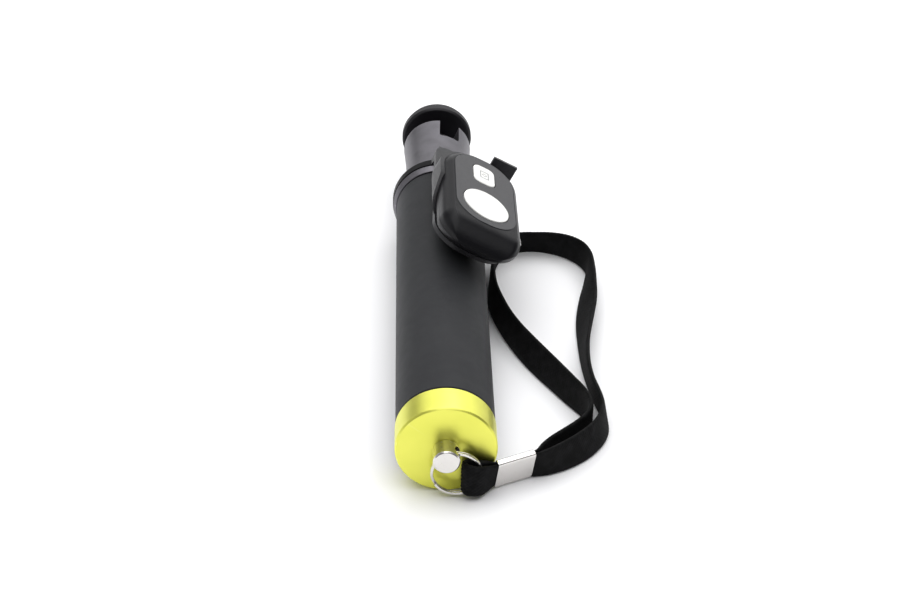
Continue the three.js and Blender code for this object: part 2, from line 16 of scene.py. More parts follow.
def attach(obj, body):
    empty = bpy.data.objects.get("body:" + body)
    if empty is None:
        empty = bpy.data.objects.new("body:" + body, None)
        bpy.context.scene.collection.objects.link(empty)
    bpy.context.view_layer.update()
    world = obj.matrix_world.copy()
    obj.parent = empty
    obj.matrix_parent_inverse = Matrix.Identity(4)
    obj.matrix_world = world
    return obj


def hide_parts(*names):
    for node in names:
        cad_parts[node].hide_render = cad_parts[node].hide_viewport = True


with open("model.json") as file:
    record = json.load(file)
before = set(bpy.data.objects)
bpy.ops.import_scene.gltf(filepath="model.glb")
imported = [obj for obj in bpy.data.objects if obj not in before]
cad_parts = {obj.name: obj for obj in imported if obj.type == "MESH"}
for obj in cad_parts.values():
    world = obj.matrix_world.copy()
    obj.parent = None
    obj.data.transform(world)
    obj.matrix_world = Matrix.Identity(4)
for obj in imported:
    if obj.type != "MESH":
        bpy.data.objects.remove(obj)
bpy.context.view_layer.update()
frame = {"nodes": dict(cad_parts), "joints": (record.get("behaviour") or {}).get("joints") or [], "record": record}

# ---- Dimensions, in millimetres, and angles in radians ----
MM = 0.001
FIT = 0.1
GAP = 0.3

# Cap, post and ring
CAP_R = 15
CAP_LENGTH = 10
CAP_PLUG_R = 12.3
CAP_PLUG_END = 19
GASKET = 0.6
POST_R = 4
POST_LENGTH = 6.2
POST_SHANK_R = 2.9
POST_HOLE_R = 1.7
POST_HOLE_Y = -3.1
POST_HOLE_TILT = 0.45
RING_MEAN_R = 7.25
RING_WIRE = 0.85
RING_WIDTH = 1.5
RING_HANG = 6.75

# Handle and sections
HANDLE_R = 13.2
HANDLE_WALL = 0.6
HANDLE_END = 144.8
GRIP_R = 14.8
GRIP_END = 137.7
COLLAR_R = 16.1
COLLAR_START = 138
COLLAR_END = 144.6
RIM_END = 140.6
SECTION_R = [11.5, 10, 8.5, 7, 5.5]
SECTION_WALL = 0.6
SECTION_FOOT = 20.5
SECTION_STEP = 1.5
SECTION_TOP = 145.3
LIP_LENGTH = 2
BUSH_LENGTH = 8

# Ball head
HEAD_START = 146.2
HEAD_RIM_R = 12.2
HEAD_RIM_Y = 180.7
ADAPTER_START = 126
ADAPTER_END = 155.2
SPRING_HEIGHT = 2.4
BALL_Y = 174.3
BALL_R = 8.9
POCKET_R = 9.3
STEM_R = 3.3
SPIGOT_R = 2.8
SPIGOT_LENGTH = 2.4
NOTCH_WIDTH = 7.5
NOTCH_DEPTH = 10.1
NOTCH_ROLL = 0.408
PLATFORM_R = 12.8
PLATFORM_Y = 188.6
PLATFORM_THICKNESS = 4
PAD_THICKNESS = 1.2
SEAT_DEPTH = 1.2
FLANGE_R = 5
THREAD_R = 3.1
THREAD_LENGTH = 5.2
THREAD_PITCH = 1.27

# Remote and its holder
REMOTE = {"width": 28.4, "near": 72, "far": 128, "floor": 19.5, "face": 30.1, "corner": 13}
REMOTE_SPLIT = 24.2
SIDE_HEIGHT = 4.4
SIDE_INSET = 3.6
CREASE_ANGLE = math.radians(62)
CREASE_DEPTH = 0.12
NOSE_TUCK = 6.6
NOSE_REACH = 26
REMOTE_WALL = 1.3
BUTTON = {"y": 94.6, "r": 8.3, "top": 30.5}
CAMERA_BUTTON = {"y": 114.2, "width": 8, "length": 11.2, "corner": 2.6, "top": 30.4}
BUTTON_GAP = 0.25
BUTTON_FOOT = 27.3
DOOR = {"y": 98, "r": 10.4, "bottom": 19.6, "top": 20.8}
SCREW_Y = [82.5, 123]
SCREW_HEAD_R = 1.8
SLIDER = {"y0": 86, "length": 3.6, "travel": 3, "z0": 25.5, "z1": 27, "x0": 10.3, "x1": 14.5}
DECK = {"width": 26, "near": 81, "far": 144.4, "floor": 17.6, "top": 19.1, "corner": 11}
LIP = {"start": 98, "top": 27.8, "low_top": 22.8, "wall": 1}
TAB = {"x0": 4.6, "x1": 13.5, "y": 129.2, "thickness": 1.3, "top": 30.6, "lean": 0.1}

# Strap and crimp
STRAP_WIDTH = 10
STRAP_THICKNESS = 1.3
STRAP_LIFT = 0.15
STRAP_SPACING = 0.28
YARN_COLUMN = 1.25
YARN_PICK = 1.3
CRIMP = {"x": 14.2, "y": 0.45, "length": 12.3, "height": 11, "thickness": 2.4, "sheet": 0.4}
CRIMP_HEADING = 0.43
CRIMP_LEAN = 0.26

# The strap's middle line on the table, from the crimp round the loop and back: x, y, and how far its top
# edge leans to the left of the way it runs.
STRAP_ROUTE = [
    (27.0, 5.4, -1.6), (31.0, 6.9, -0.2), (35.0, 9.2, 1.0), (38.9, 12.1, 1.8), (42.2, 15.2, 2.2),
    (45.1, 18.7, 2.2), (47.5, 22.8, 2.2), (48.9, 27.4, 2.0), (48.9, 32.3, 1.5), (48.0, 37.2, 1.0),
    (46.8, 43.5, 0.8), (46.0, 50.5, 0.2), (45.7, 58, -0.9), (45.9, 66, -2.2), (46.6, 74.5, -3.9),
    (47.6, 84, -5.6), (48.8, 93, -6.2), (49.9, 102, -5.0), (51.0, 111, -2.8), (51.3, 118.3, -0.8),
    (49.4, 123.8, -0.6), (45.6, 128.1, 0.2), (40.2, 131.1, 1.6), (34, 132.6, 2.8), (27.8, 132.2, 2.6),
    (22.9, 129, 1.8), (19.8, 123.5, 1.0), (18.3, 116, 0.8), (17.5, 107.5, 1.2), (17.5, 99, 2.2),
    (18.9, 90.5, 2.7), (21.3, 81.5, 2.7), (24.4, 73, 3.1), (28.1, 65, 3.8), (31.9, 57.5, 3.8),
    (35.7, 50.3, 3.2), (39.5, 43, 2.5), (43, 36.4, 1.4), (44.7, 31, 0.3), (44.3, 27, 0.0),
    (42.2, 23.2, 0.0), (38.9, 19.4, 0.0), (35.2, 15.9, 0.0), (31.3, 12.3, 0.2), (28.4, 9.3, 1.0),
    (26.5, 7.0, 1.8),
]

# Camera, with its tilt and yaw in degrees
CAMERA_FROM_CAP = (-7.88, -439.28, 334.9)
CAMERA_TILT = 57.2
CAMERA_YAW = -1.171
CAMERA_LENS = 76

# ---- Places ----
joints = {joint["name"]: joint for joint in frame["joints"]}
record = frame["record"]
body_of = {node: body for body, nodes in record["behaviour"]["bodies"].items() for node in nodes}


def place(origin, along, outward):
    """A local frame in millimetres: y runs along, z outward."""
    across = along.cross(outward).normalized()
    outward = across.cross(along)
    axes = Matrix((across, along, outward)).transposed().to_4x4()
    return Matrix.Translation(origin) @ axes @ Matrix.Scale(MM, 4)


along_stick = Vector(joints["head_turn"]["axis"]).normalized()
cap_centre = Vector(joints["head_turn"]["pos_m"]) - along_stick * HEAD_START * MM
STICK = place(cap_centre, along_stick, Vector((0, 0, 1)))
ROLLED = place(cap_centre, along_stick, -Vector(joints["shutter_press"]["axis"]))
TABLE = Matrix.Translation((cap_centre.x, cap_centre.y, 0)) @ Matrix.Scale(MM, 4)


def add_object(name, data):
    added = bpy.data.objects.new(name, data)
    bpy.context.scene.collection.objects.link(added)
    return added


def shift(x, y, z):
    return Matrix.Translation((x, y, z))


def turn(angle, axis):
    return Matrix.Rotation(angle, 4, axis)


# ---- Camera ----
def make_camera():
    data = bpy.data.cameras.new("camera")
    data.lens = CAMERA_LENS
    data.sensor_width = 36
    data.clip_start = 0.01
    camera = add_object("camera", data)
    camera.location = cap_centre + Vector(CAMERA_FROM_CAP) * MM
    camera.rotation_euler = (math.radians(CAMERA_TILT), 0, math.radians(CAMERA_YAW))
    bpy.context.scene.camera = camera


make_camera()


# ---- Mesh tools ----
def new_piece(bm, name="piece"):
    bmesh.ops.recalc_face_normals(bm, faces=bm.faces)
    mesh = bpy.data.meshes.new(name)
    bm.to_mesh(mesh)
    bm.free()
    return add_object(name, mesh)


def moved(piece, matrix):
    piece.data.transform(matrix)
    return piece


def clamp(value, low=0.0, high=1.0):
    return max(low, min(high, value))


def freeze(piece):
    """Replaces a piece's mesh by what its modifiers make of it."""
    bpy.context.view_layer.update()
    graph = bpy.context.evaluated_depsgraph_get()
    mesh = bpy.data.meshes.new_from_object(piece.evaluated_get(graph))
    piece.modifiers.clear()
    piece.data = mesh
    return piece


def combine(piece, tool, operation):
    modifier = piece.modifiers.new(operation.lower(), "BOOLEAN")
    modifier.operation = operation
    modifier.solver = "EXACT"
    modifier.object = tool
    freeze(piece)
    bpy.data.objects.remove(tool)
    return piece


def cut(piece, *tools):
    for tool in tools:
        combine(piece, tool, "DIFFERENCE")
    return piece


def join(piece, *tools):
    for tool in tools:
        combine(piece, tool, "UNION")
    return piece


def common(piece, tool):
    return combine(piece, tool, "INTERSECT")


def soften(piece, width, segments=3, angle=32):
    """Rounds the sharp edges."""
    modifier = piece.modifiers.new("soften", "BEVEL")
    modifier.width = width
    modifier.segments = segments
    modifier.limit_method = "ANGLE"
    modifier.angle_limit = math.radians(angle)
    modifier.miter_outer = "MITER_ARC"
    return freeze(piece)


def stand_for(piece, node, where, finish, smooth=True):
    """Moves a piece to the frame and lets it ride and stand for a CAD node, whose name it takes."""
    piece.name = f"{node}_visual"
    piece.data.transform(where)
    piece.data.shade_smooth()
    if smooth:
        piece.data.set_sharp_from_angle(angle=math.radians(50))
        piece.modifiers.new("normals", "WEIGHTED_NORMAL").keep_sharp = True
    piece.data.materials.clear()
    piece.data.materials.append(finish)
    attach(piece, body_of[node])
    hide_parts(node)
    return piece


def rounded(points, radius, closed=True, steps=4):
    """A polygon whose sharp corners are rounded. An open one keeps its two ends."""
    nearly_straight, most = math.radians(28), 0.45
    corners = [Vector(point) for point in points]
    count = len(corners)
    result = []
    for index, corner in enumerate(corners):
        if not closed and index in (0, count - 1):
            result.append(corner)
            continue
        back = corners[index - 1] - corner
        ahead = corners[(index + 1) % count] - corner
        bend = math.pi - back.angle(ahead)
        if bend < nearly_straight:
            result.append(corner)
            continue
        reach = min(radius * math.tan(bend / 2), most * back.length, most * ahead.length)
        start = corner + back.normalized() * reach
        end = corner + ahead.normalized() * reach
        for step in range(steps + 1):
            t = step / steps
            result.append(start * (1 - t) ** 2 + corner * 2 * t * (1 - t) + end * t**2)
    return [tuple(point) for point in result]


def spin(section, segments=128):
    """A solid turned about y. The section is (radius, y), closed unless it starts and ends on the axis."""
    bm = bmesh.new()
    rings = []
    for radius, y in section:
        count = 1 if radius < 1e-6 else segments
        angles = [2 * math.pi * step / count for step in range(count)]
        rings.append([bm.verts.new((radius * math.cos(a), y, radius * math.sin(a))) for a in angles])
    if section[0][0] >= 1e-6:
        rings.append(rings[0])
    skin(bm, rings)
    return new_piece(bm)


def skin(bm, rings):
    """Faces between neighbouring rings of vertices, where a ring of one is a pole."""
    for low, high in zip(rings, rings[1:]):
        count = max(len(low), len(high))
        for step in range(count):
            ahead = (step + 1) % count
            corners = [low[step % len(low)], low[ahead % len(low)]]
            corners += [high[ahead % len(high)], high[step % len(high)]]
            distinct = list(dict.fromkeys(corners))
            if len(distinct) > 2:
                bm.faces.new(distinct)


def turned(section, radius=0.15, segments=128):
    """A solid turned about y, with the corners of its section rounded."""
    on_axis = section[0][0] == 0
    return spin(rounded(section, radius, closed=not on_axis), segments)


def lathe(node, section, finish, radius=0.15, segments=128):
    """A turned piece on the stick's axis that stands for a node."""
    return stand_for(turned(section, radius, segments), node, STICK, finish)


def tube(outer, inner, y0, y1):
    """A tube's section."""
    return [(inner, y0), (outer, y0), (outer, y1), (inner, y1)]


def disc(r, y0, y1):
    """A disc's section."""
    return [(0, y0), (r, y0), (r, y1), (0, y1)]


def upright(section, y, segments=96, radius=0.15):
    """A turned solid that stands along z at y. Its section is (radius, z)."""
    return moved(turned(section, radius, segments), shift(0, y, 0) @ turn(math.pi / 2, "X"))


def rounded_outline(width, y0, y1, corner, steps=16):
    """A rectangle with round corners, anticlockwise from the near left."""
    half = width / 2 - corner
    centres = [(-half, y0 + corner), (half, y0 + corner), (half, y1 - corner), (-half, y1 - corner)]
    points = []
    for quarter, (x, y) in enumerate(centres):
        for step in range(steps + 1):
            angle = math.pi * (1 + quarter / 2 + step / steps / 2)
            points.append((x + corner * math.cos(angle), y + corner * math.sin(angle)))
    return points


def sweep(sections):
    """A solid with one ring of vertices for each section, capped at both ends."""
    bm = bmesh.new()
    rings = [[bm.verts.new(point) for point in section] for section in sections]
    skin(bm, rings)
    bm.faces.new(rings[0])
    bm.faces.new(rings[-1])
    return new_piece(bm)


def stack(layers):
    """A closed solid from outlines of as many points each, given as (points, z) from the bottom."""
    return sweep([[(x, y, z) for x, y in points] for points, z in layers])


def plate(points, z0, z1):
    return stack([(points, z0), (points, z1)])


def block(x0, x1, y0, y1, z0, z1):
    return plate([(x0, y0), (x1, y0), (x1, y1), (x0, y1)], z0, z1)


# ---- Materials ----
class Finish:
    """A material's node tree, with short ways to add the nodes that several finishes share."""

    def __init__(self, name, color, roughness, metallic=0.0):
        self.material = bpy.data.materials.new(name)
        self.material.use_nodes = True
        self.nodes = self.material.node_tree.nodes
        self.links = self.material.node_tree.links
        self.shader = self.nodes["Principled BSDF"]
        self.color = (*color, 1)
        self.rough = roughness
        self.setting("Metallic", metallic)
        self.setting("Roughness", roughness)
        self.setting("Base Color", self.color)
        self.material.diffuse_color = self.color
        self.height = None
        self.place = self.add("ShaderNodeTexCoord").outputs["Object"]

    def setting(self, name, value):
        self.shader.inputs[name].default_value = value

    def add(self, kind, **settings):
        node = self.nodes.new(kind)
        for key, value in settings.items():
            if key in node.inputs:
                node.inputs[key].default_value = value
            else:
                setattr(node, key, value)
        return node

    def math(self, operation, a, b):
        node = self.add("ShaderNodeMath", operation=operation)
        for socket, value in zip(node.inputs, (a, b)):
            if isinstance(value, bpy.types.NodeSocket):
                self.links.new(value, socket)
            else:
                socket.default_value = value
        return node.outputs[0]

    def noise(self, size_mm, detail=2.0, stretch=(1, 1, 1), place=None):
        """Noise with features of about that size, drawn out where stretch is above 1."""
        mapping = self.add("ShaderNodeMapping")
        mapping.inputs["Scale"].default_value = [1 / s for s in stretch]
        self.links.new(place or self.place, mapping.inputs["Vector"])
        texture = self.add("ShaderNodeTexNoise", Scale=1 / (size_mm * MM), Detail=detail)
        self.links.new(mapping.outputs[0], texture.inputs["Vector"])
        return texture.outputs["Fac"]

    def turned_place(self):
        """Coordinates (radius, y, 0) about the stick's axis, so that noise in them makes lathe lines."""
        centred = self.add("ShaderNodeVectorMath", operation="SUBTRACT")
        self.links.new(self.place, centred.inputs[0])
        centred.inputs[1].default_value = (cap_centre.x, 0, cap_centre.z)
        split = self.add("ShaderNodeSeparateXYZ")
        self.links.new(centred.outputs[0], split.inputs[0])
        lift = self.math("MULTIPLY", split.outputs["Y"], along_stick.z)
        level = self.math("SUBTRACT", split.outputs["Z"], lift)
        squares = [self.math("MULTIPLY", side, side) for side in (split.outputs["X"], level)]
        radius = self.math("SQRT", self.math("ADD", *squares), 0.0)
        merge = self.add("ShaderNodeCombineXYZ")
        self.links.new(radius, merge.inputs["X"])
        self.links.new(split.outputs["Y"], merge.inputs["Y"])
        return merge.outputs[0]

    def ramp(self, value, low, high):
        """The value spread from low to high onto 0 to 1."""
        node = self.add("ShaderNodeMapRange")
        self.links.new(value, node.inputs["Value"])
        node.inputs["From Min"].default_value = low
        node.inputs["From Max"].default_value = high
        return node.outputs["Result"]

    def tint(self, factor, color):
        """Mixes another colour in by the factor."""
        mix = self.add("ShaderNodeMix", data_type="RGBA")
        self.links.new(factor, mix.inputs["Factor"])
        base = self.shader.inputs["Base Color"]
        if base.is_linked:
            self.links.new(base.links[0].from_socket, mix.inputs[6])
        else:
            mix.inputs[6].default_value = self.color
        mix.inputs[7].default_value = (*color, 1)
        self.links.new(mix.outputs[2], base)

    def shine(self, value, spread):
        """Varies the roughness by the value, which is about one half on average."""
        offset = self.math("MULTIPLY", self.math("SUBTRACT", value, 0.5), spread)
        socket = self.shader.inputs["Roughness"]
        base = socket.links[0].from_socket if socket.is_linked else self.rough
        self.links.new(self.math("ADD", offset, base), socket)

    def bump(self, value, depth_mm):
        node = self.add("ShaderNodeBump", Distance=depth_mm * MM, Strength=1.0)
        self.links.new(value, node.inputs["Height"])
        if self.height is not None:
            self.links.new(self.height, node.inputs["Normal"])
        self.height = node.outputs["Normal"]
        self.links.new(self.height, self.shader.inputs["Normal"])

    def edges(self, color, share):
        """Wears the convex edges towards a colour."""
        slight, sharp = 0.52, 0.62
        pointy = self.add("ShaderNodeNewGeometry").outputs["Pointiness"]
        edge = self.ramp(pointy, slight, sharp)
        worn = self.math("MULTIPLY", edge, self.noise(0.8, 3))
        self.tint(self.math("MULTIPLY", worn, 2 * share), color)


def anodised():
    finish = Finish("lime_anodised", (0.83, 0.83, 0.17), 0.38, 1.0)
    lines = finish.noise(0.09, 2, (1, 1, 1), finish.turned_place())
    finish.tint(finish.ramp(finish.noise(9, 2), 0.35, 0.75), (0.78, 0.79, 0.15))
    finish.tint(finish.math("MULTIPLY", lines, 0.18), (0.90, 0.90, 0.30))
    finish.shine(finish.noise(0.12, 2), 0.10)
    finish.bump(lines, 0.0025)
    finish.bump(finish.noise(0.05, 1), 0.0012)
    finish.edges((0.95, 0.95, 0.45), share=0.3)
    return finish.material


def bright_steel(name, line_mm, depth_mm, turned_lines):
    finish = Finish(name, (0.76, 0.74, 0.72), 0.26, 1.0)
    where = finish.turned_place() if turned_lines else None
    lines = finish.noise(line_mm, 3, (1, 1, 1) if turned_lines else (12, 1, 1), where)
    finish.tint(finish.ramp(finish.noise(3, 3), 0.45, 0.8), (0.72, 0.70, 0.68))
    finish.shine(finish.noise(0.9, 3), 0.06)
    finish.shine(lines, 0.05)
    finish.bump(lines, depth_mm)
    return finish.material


def dark_metal(name, color, metallic):
    finish = Finish(name, color, 0.42, metallic)
    lines = finish.noise(0.12, 2, (1, 1, 1), finish.turned_place())
    finish.tint(finish.ramp(finish.noise(5, 2), 0.4, 0.8), [0.8 * c for c in color])
    finish.shine(finish.noise(0.4, 3), 0.12)
    finish.bump(lines, 0.002)
    finish.bump(finish.noise(0.07, 1), 0.002)
    finish.edges([min(1, 2.5 * c) for c in color], share=0.25)
    return finish.material


def tube_metal():
    finish = Finish("tube_metal", (0.45, 0.46, 0.48), 0.28, 1.0)
    drawn = finish.noise(0.1, 2, (1, 60, 1))
    finish.tint(finish.ramp(drawn, 0.4, 0.8), (0.36, 0.37, 0.39))
    finish.shine(finish.noise(0.5, 3, (1, 8, 1)), 0.12)
    finish.bump(drawn, 0.0018)
    return finish.material


def soft_touch():
    finish = Finish("soft_touch", (0.022, 0.023, 0.026), 0.62)
    finish.setting("Specular IOR Level", 0.35)
    finish.setting("Sheen Weight", 0.06)
    finish.setting("Sheen Roughness", 0.45)
    finish.tint(finish.ramp(finish.noise(14, 3), 0.35, 0.75), (0.028, 0.029, 0.032))
    specks = finish.ramp(finish.noise(0.35, 1), 0.77, 0.80)
    finish.tint(finish.math("MULTIPLY", specks, 0.5), (0.16, 0.16, 0.16))
    finish.shine(finish.noise(4, 4), 0.14)
    finish.bump(finish.noise(0.16, 3), 0.012)
    finish.bump(finish.noise(2.2, 2), 0.02)
    return finish.material


def moulded(name, color, roughness, lighter, grain_mm=0.14, depth_mm=0.01, shine=0.3):
    """Moulded plastic: an even fine grain, lighter along the worn edges."""
    finish = Finish(name, color, roughness)
    finish.setting("Specular IOR Level", shine)
    finish.tint(finish.ramp(finish.noise(6, 3), 0.35, 0.8), [0.85 * c for c in color])
    finish.shine(finish.noise(0.9, 3), 0.12)
    finish.bump(finish.noise(grain_mm, 2), depth_mm)
    finish.edges(lighter, share=0.3)
    return finish.material


def webbing():
    """Black nylon: the yarns are in the mesh, and here are their fibres and sheen."""
    finish = Finish("webbing", (0.003, 0.003, 0.0033), 0.7)
    finish.setting("Specular IOR Level", 0.2)
    finish.setting("Sheen Weight", 0.02)
    finish.setting("Sheen Roughness", 0.5)
    fibres = finish.noise(0.09, 3)
    finish.tint(finish.ramp(finish.noise(2.5, 3), 0.4, 0.75), (0.012, 0.012, 0.013))
    finish.tint(finish.math("MULTIPLY", finish.ramp(fibres, 0.55, 0.8), 0.5), (0.03, 0.03, 0.032))
    finish.shine(fibres, 0.2)
    finish.bump(fibres, 0.05)
    return finish.material


def circuit_board():
    finish = Finish("board_green", (0.013, 0.10, 0.034), 0.4)
    tracks = finish.ramp(finish.noise(0.9, 0), 0.5, 0.52)
    finish.tint(finish.math("MULTIPLY", tracks, 0.6), (0.03, 0.2, 0.07))
    finish.bump(tracks, 0.02)
    return finish.material


LIME = anodised()
TURNED_STEEL = bright_steel("turned_steel", 0.07, 0.002, True)
ROLLED_STEEL = bright_steel("rolled_steel", 0.15, 0.0015, False)
BLACK_METAL = dark_metal("black_metal", (0.012, 0.011, 0.014), 0.2)
SATIN_METAL = dark_metal("satin_metal", (0.17, 0.165, 0.18), 0.85)
TUBE_METAL = tube_metal()
SOFT_TOUCH = soft_touch()
HARD_BLACK = moulded("hard_black", (0.004, 0.004, 0.005), 0.4, (0.03, 0.03, 0.033), shine=0.1)
REMOTE_GREY = moulded("remote_grey", (0.010, 0.010, 0.012), 0.34, (0.04, 0.04, 0.045), shine=0.2)
# A lighter copy of the remote's grey for the holder: painted light where its lips catch the light.
HOLDER_GREY_PAINTED_LIGHT = moulded("holder_grey_painted_light", (0.020, 0.020, 0.022), 0.42, (0.07, 0.07, 0.075), shine=0.45)
# A lighter copy of the remote's grey for the sheet over its face: painted light where the top face catches the
# light.
FACE_GREY_PAINTED_LIGHT = moulded("face_grey_painted_light", (0.036, 0.036, 0.040), 0.3, (0.07, 0.07, 0.075), shine=0.5)
WHITE = moulded("white_plastic", (0.86, 0.86, 0.84), 0.38, (0.93, 0.93, 0.92), 0.3, 0.004)
MARKING = moulded("marking_grey", (0.42, 0.42, 0.42), 0.5, (0.5, 0.5, 0.5), 0.3, 0.004)
RUBBER = moulded("rubber", (0.012, 0.012, 0.013), 0.75, (0.04, 0.04, 0.042), 0.2, 0.02)
WEBBING = webbing()
BOARD = circuit_board()


# ---- Strap, its end loop, its crimp and the split ring ----
def band(line, widths, thickness, yarn):
    """A woven band along a line of (x, y, z, lean), with a width and a thickness for each point."""
    across = 32
    edge_share = 0.35
    scallop_depth = 0.08
    sections = []
    travelled = 0.0
    previous = line[0].xyz
    for (middle, left, up), width, thick in zip(band_frames(line), widths, thickness):
        travelled += (middle - previous).length
        previous = middle
        ring = []
        for face in (1, -1):
            for step in range(across + 1):
                u = face * (0.5 - step / across)
                edge = math.sqrt(clamp(1 - (2 * abs(u)) ** 8))
                column = math.cos(2 * math.pi * u * width / YARN_COLUMN)
                pick = math.cos(2 * math.pi * travelled / YARN_PICK)
                weave = yarn * (0.6 * column * pick * face + 0.4 * abs(column))
                half = (thick / 2) * (edge_share + (1 - edge_share) * edge) + weave * edge
                scallop = scallop_depth * pick * (2 * abs(u)) ** 6
                ring.append(middle + left * (half * face) + up * (u * (width + scallop)))
        sections.append(ring)
    return sweep(sections)


def smooth_line(knots):
    """Closely spaced points on a centripetal curve through the knots, which are vectors."""
    ends = [knots[0] * 2 - knots[1], *knots, knots[-1] * 2 - knots[-2]]
    line = []
    for a, b, c, d in zip(ends, ends[1:], ends[2:], ends[3:]):
        steps = max(1, round((c.xyz - b.xyz).length / STRAP_SPACING))
        pairs = ((a, b), (b, c), (c, d))
        times = [0.0]
        for start, end in pairs:
            times.append(times[-1] + max(1e-6, (end.xyz - start.xyz).length) ** 0.5)
        for step in range(steps):
            t = times[1] + (times[2] - times[1]) * step / steps
            outer = [lerp(t, times[i], times[i + 1], *pair) for i, pair in enumerate(pairs)]
            middle = [lerp(t, times[i], times[i + 2], outer[i], outer[i + 1]) for i in range(2)]
            line.append(lerp(t, times[1], times[2], *middle))
    line.append(knots[-1])
    return line


def lerp(t, start, end, a, b):
    """The value at t between a, at start, and b, at end."""
    share = (t - start) / (end - start)
    return a * (1 - share) + b * share


def in_crimp(x, layer):
    """The middle (x, y, z, lean) of the front (0) or back (1) layer of strap inside the crimp."""
    thickness = (CRIMP["thickness"] - 2 * CRIMP["sheet"]) / 2
    point = CRIMP_PLACE @ Vector((x, CRIMP["sheet"] + thickness * (layer + 0.5), CRIMP["height"] / 2))
    lean = STRAP_WIDTH * math.sin(CRIMP_LEAN)
    return Vector((*point, lean if layer else -lean))


def strap_knots():
    """The strap's middle line with its two ends inside the crimp, as (x, y, z, lean)."""
    inside = CRIMP["length"] - 3
    edge_bulge = 0.15
    knots = [in_crimp(inside, 0)]
    for x, y, lean in STRAP_ROUTE:
        rise = math.sqrt(STRAP_WIDTH**2 - lean**2) / 2
        knots.append(Vector((x, y, STRAP_LIFT + edge_bulge + rise, lean)))
    knots.append(in_crimp(inside, 1))
    return knots


def band_frames(line):
    """(middle, left, up) at each point of a line of (x, y, z, lean), with left and up as unit vectors."""
    frames = []
    steepest = 0.95
    for index, point in enumerate(line):
        ahead = line[min(index + 1, len(line) - 1)].xy - line[max(index - 1, 0)].xy
        level = Vector((-ahead.y, ahead.x, 0)).normalized()
        slope = clamp(point.w / STRAP_WIDTH, -steepest, steepest)
        up = level * slope + Vector((0, 0, math.sqrt(1 - slope**2)))
        left = level * math.sqrt(1 - slope**2) - Vector((0, 0, slope))
        frames.append((point.xyz, left, up))
    return frames


def make_strap():
    """The strap's one loop, thin where the crimp squeezes it."""
    line = smooth_line(strap_knots())
    count = len(line)
    squeezed, squeezed_length, yarn = 0.7, 3, 0.13
    from_end = [min(index, count - 1 - index) * STRAP_SPACING for index in range(count)]
    free = [clamp(distance / squeezed_length - 1) for distance in from_end]
    thickness = [squeezed + (STRAP_THICKNESS - squeezed) * share for share in free]
    strap = band(line, [STRAP_WIDTH] * count, thickness, yarn)
    path = [TABLE @ point.xyz for point in line[::8]] + [TABLE @ line[-1].xyz]
    length = sum((b - a).length for a, b in zip(path, path[1:]))
    return stand_for(strap, "wrist_strap", TABLE, WEBBING, smooth=False), path, length


def make_end_loop():
    """The strap's end, from the crimp round the ring and back, bunched where it folds."""
    fold = Vector((6.75, POST_HOLE_Y))
    radius = 1.5
    height = 7.35
    inside = (2.6, 0.6)
    knots = [in_crimp(x, 1) for x in inside]
    knots += [(11.9, 0.0, 6.3, 2.0), (9.3, fold.y + radius + 0.15, height - 0.3, 1.0)]
    for angle in range(90, 271, 30):
        around = math.radians(angle)
        out = radius * (1 + 0.06 * math.sin(3 * around))
        knots.append((fold.x + out * math.cos(around), fold.y + out * math.sin(around), height, 0.2))
    knots += [(9.2, fold.y - radius - 0.1, height - 0.3, -0.6), (11.9, -2.6, 6.2, -1.6)]
    knots += [in_crimp(x, 0) for x in reversed(inside)]
    line = smooth_line([Vector(knot) for knot in knots])
    mouth, bunched_over, yarn = 14.4, 4, 0.26
    free = [clamp((mouth - point.x) / bunched_over) for point in line]
    widths = [9.8 + 1.1 * share for share in free]
    thickness = [0.75 + 1.05 * share for share in free]
    loop = band(line, widths, thickness, yarn)
    return stand_for(loop, "strap_end_loop", TABLE, WEBBING, smooth=False)


def make_crimp():
    """A sheet folded round the strap, with its two edges meeting behind."""
    length, height, thickness = CRIMP["length"], CRIMP["height"], CRIMP["thickness"]
    corner, seam, waist = 0.95, 0.12, 0.22
    middle = height / 2
    corners = [
        (thickness, middle + seam), (thickness, height), (0, height), (0, 0), (thickness, 0),
        (thickness, middle - seam),
    ]
    outer = rounded(corners, corner, closed=False, steps=8)
    line = [Vector(point) for point in outer]
    inner = []
    for index, point in enumerate(line):
        ahead = line[min(index + 1, len(line) - 1)] - line[max(index - 1, 0)]
        inward = Vector((ahead.y, -ahead.x)).normalized()
        inner.append(point - inward * CRIMP["sheet"])
    section = [*line, *reversed(inner)]
    rows = 24
    sections = []
    for row in range(rows + 1):
        x = length * row / rows
        pinch = waist * math.sin(math.pi * row / rows) ** 2
        ring = []
        for through, up in section:
            flatness = 1 - abs(up - middle) / middle
            inward = pinch * flatness * (1 if through < thickness / 2 else -1)
            ring.append(Vector((x, through + inward, up)))
        sections.append(ring)
    crimp = soften(sweep(sections), 0.08, 2, 60)
    return stand_for(crimp, "strap_crimp", TABLE @ CRIMP_PLACE, ROLLED_STEEL)


def make_ring():
    """Two turns of flat wire, which change sides over a short jog."""
    jog = math.radians(34)
    gap = math.radians(3)
    lane = RING_WIDTH / 2
    wire = lane - 0.2
    end = 4 * math.pi - jog - gap
    steps = 300
    start = math.radians(-150)
    sections = []
    for step in range(steps + 1):
        angle = end * step / steps
        share = clamp((angle - (2 * math.pi - jog)) / jog)
        y = lane * (share * share * (3 - 2 * share) - 0.5)
        out = Vector((math.cos(start + angle), 0, math.sin(start + angle)))
        centre = out * RING_MEAN_R + Vector((0, y, 0))
        half_r, half_y = RING_WIRE / 2, wire / 2
        corners = [(-half_r, -half_y), (half_r, -half_y), (half_r, half_y), (-half_r, half_y)]
        ring = [centre + out * r + Vector((0, w, 0)) for r, w in rounded(corners, 0.2, steps=4)]
        sections.append(ring)
    hang = shift(RING_HANG * math.sin(POST_HOLE_TILT), POST_HOLE_Y, -RING_HANG * math.cos(POST_HOLE_TILT))
    stand_for(moved(sweep(sections), hang), "split_ring", STICK, ROLLED_STEEL)


